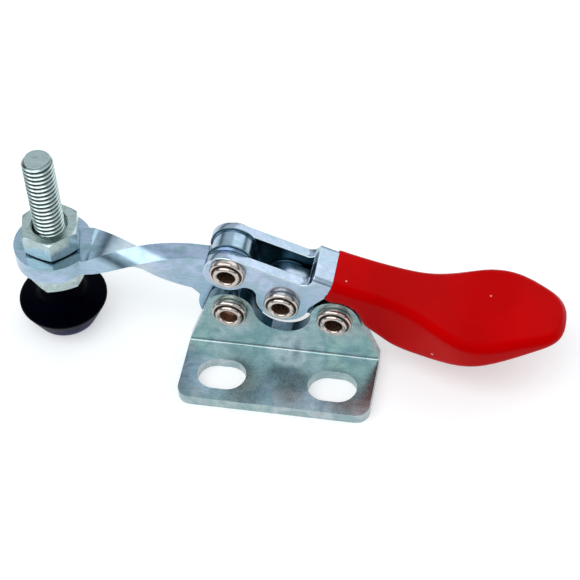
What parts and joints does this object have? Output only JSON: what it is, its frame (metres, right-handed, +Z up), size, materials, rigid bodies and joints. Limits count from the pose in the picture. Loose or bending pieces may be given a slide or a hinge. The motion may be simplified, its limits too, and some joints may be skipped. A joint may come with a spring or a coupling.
{
  "type": "toggle clamp",
  "caption": "Small horizontal toggle clamp: slotted side-mount foot, twisted bar arm with adjustable rubber-capped spindle, riveted link and dipped grip.",
  "frame": {"origin": "centre of the two mounting slots, on the underside of the foot", "axes": "+X along the clamp from the spindle towards the grip, +Y from the slotted flange towards the upright web behind it, +Z up, away from the table"},
  "size_m": [0.0721, 0.0197, 0.0295],
  "materials": {
    "zinc_plate": "bright zinc plated and passivated pressed steel, with faint blue and teal tints",
    "zinc_bolt": "bright zinc plated rolled thread and cold-headed nuts",
    "nickel_rivet": "nickel plated semi-tubular rivet, polished roll",
    "red_vinyl": "glossy dipped red vinyl",
    "black_rubber": "smooth moulded black rubber"
  },
  "bodies": {
    "foot": {"base_bracket": "zinc_plate", "rivet_base_link": "nickel_rivet", "rivet_base_arm_front": "nickel_rivet", "washer_base_arm": "zinc_plate", "washer_base_link": "zinc_plate"},
    "link": {"toggle_link": "zinc_plate"},
    "handle": {"handle_frame": "zinc_plate", "handle_grip": "red_vinyl", "rivet_arm_handle": "nickel_rivet", "rivet_handle_link": "nickel_rivet", "washer_arm_handle_near": "zinc_plate", "washer_arm_handle_far": "zinc_plate", "washer_handle_link_near": "zinc_plate", "washer_handle_link_far": "zinc_plate"},
    "arm": {"clamp_arm": "zinc_plate", "rivet_base_arm_back": "nickel_rivet", "spindle_bolt": "zinc_bolt", "spindle_nut_upper": "zinc_bolt", "spindle_nut_lower": "zinc_bolt", "rubber_cap": "black_rubber"}
  },
  "joints": [
    {"name": "link_pivot", "type": "hinge", "parent": "foot", "child": "link", "pos_m": [0.0069, 0.0084, 0.0086], "axis": [0, 1, 0], "range_deg": [0, 75]},
    {"name": "handle_pivot", "type": "hinge", "parent": "link", "child": "handle", "pos_m": [0.0002, 0.0084, 0.0108], "axis": [0, 1, 0], "range_deg": [-132, 0]},
    {"name": "arm_pivot", "type": "hinge", "parent": "handle", "child": "arm", "pos_m": [-0.0065, 0.0084, 0.0158], "axis": [0, 1, 0], "range_deg": [0, 108.38]}
  ],
  "couplings": [
    {"joint": "handle_pivot", "follows": "link_pivot", "ratio": -1.76},
    {"joint": "arm_pivot", "follows": "link_pivot", "ratio": 1.445}
  ]
}
